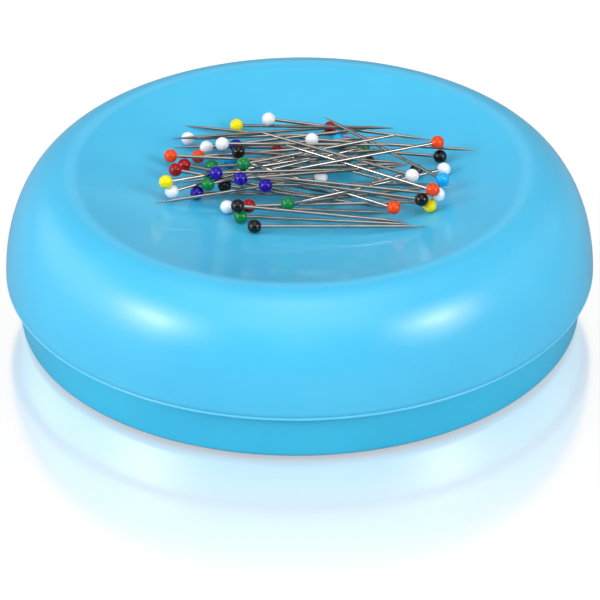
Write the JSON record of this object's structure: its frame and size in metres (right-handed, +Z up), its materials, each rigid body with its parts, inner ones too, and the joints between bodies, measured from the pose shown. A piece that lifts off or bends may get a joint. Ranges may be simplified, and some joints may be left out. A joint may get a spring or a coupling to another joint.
{
  "type": "magnetic pin bowl",
  "caption": "Round shallow bowl with a ring magnet inside its closed shell, holding a heap of dressmaker's pins with coloured ball heads.",
  "frame": {"origin": "centre of the underside, in the plane that the rubber feet stand on", "axes": "+Z up along the bowl's axis of revolution, +X to the right and +Y to the back as the bowl is seen from the front"},
  "size_m": [0.108, 0.108, 0.0332],
  "materials": {
    "cover_plastic": "gloss",
    "base_plastic": "gloss",
    "ferrite": "sintered, dull",
    "screw_steel": "zinc plated",
    "rubber": "matt",
    "pin_steel": "nickel plated, polished",
    "white_glass": "opaque coloured glass, gloss",
    "yellow_glass": "opaque coloured glass, gloss",
    "orange_glass": "opaque coloured glass, gloss",
    "red_glass": "opaque coloured glass, gloss",
    "green_glass": "opaque coloured glass, gloss",
    "purple_glass": "opaque coloured glass, gloss",
    "light_blue_glass": "opaque coloured glass, gloss",
    "black_glass": "opaque coloured glass, gloss"
  },
  "bodies": {
    "bowl": {"cover": "cover_plastic", "base": "base_plastic", "ring_magnet": "ferrite", "case_screws": "screw_steel", "rubber_feet": "rubber"},
    "pin_heap": {"white_pin_heads": "white_glass", "yellow_pin_heads": "yellow_glass", "orange_pin_heads": "orange_glass", "red_pin_heads": "red_glass", "green_pin_heads": "green_glass", "purple_pin_heads": "purple_glass", "light_blue_pin_heads": "light_blue_glass", "black_pin_heads": "black_glass", "white_pin_shafts": "pin_steel", "yellow_pin_shafts": "pin_steel", "orange_pin_shafts": "pin_steel", "red_pin_shafts": "pin_steel", "green_pin_shafts": "pin_steel", "purple_pin_shafts": "pin_steel", "light_blue_pin_shafts": "pin_steel", "black_pin_shafts": "pin_steel"},
    "top_pin_1": {"top_pin_1_head": "black_glass", "top_pin_1_shaft": "pin_steel"},
    "top_pin_2": {"top_pin_2_head": "orange_glass", "top_pin_2_shaft": "pin_steel"},
    "top_pin_3": {"top_pin_3_head": "orange_glass", "top_pin_3_shaft": "pin_steel"}
  },
  "joints": [
    {"name": "pin_heap_lift", "type": "slide", "parent": "bowl", "child": "pin_heap", "axis": [0, 0, 1], "range_m": [0, 0.05]},
    {"name": "top_pin_1_lift", "type": "slide", "parent": "pin_heap", "child": "top_pin_1", "axis": [0, 0, 1], "range_m": [0, 0.04]},
    {"name": "top_pin_2_lift", "type": "slide", "parent": "pin_heap", "child": "top_pin_2", "axis": [0, 0, 1], "range_m": [0, 0.04]},
    {"name": "top_pin_3_lift", "type": "slide", "parent": "top_pin_2", "child": "top_pin_3", "axis": [0, 0, 1], "range_m": [0, 0.04]}
  ]
}
